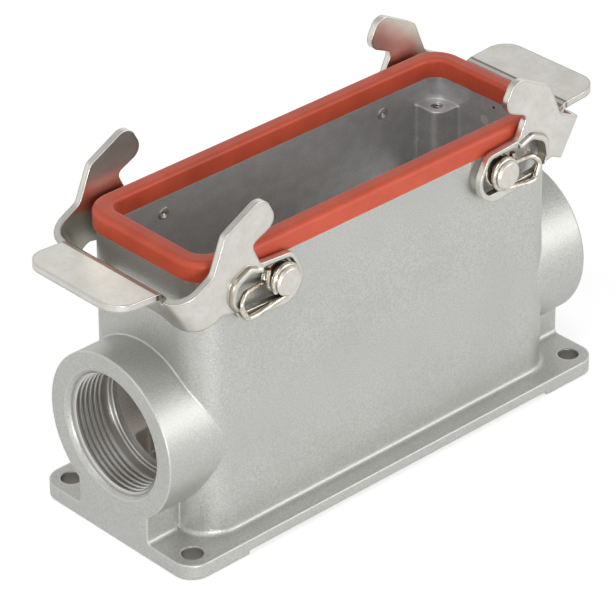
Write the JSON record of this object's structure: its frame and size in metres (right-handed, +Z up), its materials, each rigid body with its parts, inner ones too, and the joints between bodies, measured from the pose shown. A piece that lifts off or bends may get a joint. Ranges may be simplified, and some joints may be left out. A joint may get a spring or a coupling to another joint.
{
  "type": "rectangular connector housing",
  "caption": "Cast surface-mounting housing for a rectangular connector, with side cable entries, a rim gasket and tilting locking levers.",
  "frame": {"origin": "centre of the flange's underside, at the centre of the four fixing holes", "axes": "+X along the housing and out of the right cable entry, +Z up through the open top, +Y away from the viewer of the front"},
  "size_m": [0.1621, 0.056, 0.0934],
  "materials": {
    "casting": "blasted matt",
    "seal": "satin",
    "pin_steel": "satin",
    "lever_sheet": "satin",
    "spring_wire": "drawn bright"
  },
  "bodies": {
    "base": {"housing": "casting", "rim_gasket": "seal", "pin_left_front": "pin_steel", "pin_left_back": "pin_steel", "pin_right_front": "pin_steel", "pin_right_back": "pin_steel"},
    "left_lever": {"lever_left": "lever_sheet", "spring_left_front": "spring_wire", "spring_left_back": "spring_wire"},
    "right_lever": {"lever_right": "lever_sheet", "spring_right_front": "spring_wire", "spring_right_back": "spring_wire"}
  },
  "joints": [
    {"name": "left_lever_tilt", "type": "hinge", "parent": "base", "child": "left_lever", "pos_m": [-0.0369, 0, 0.07], "axis": [0, 1, 0], "range_deg": [-9, 27]},
    {"name": "right_lever_tilt", "type": "hinge", "parent": "base", "child": "right_lever", "pos_m": [0.0369, 0, 0.07], "axis": [0, -1, 0], "range_deg": [0, 22]}
  ]
}
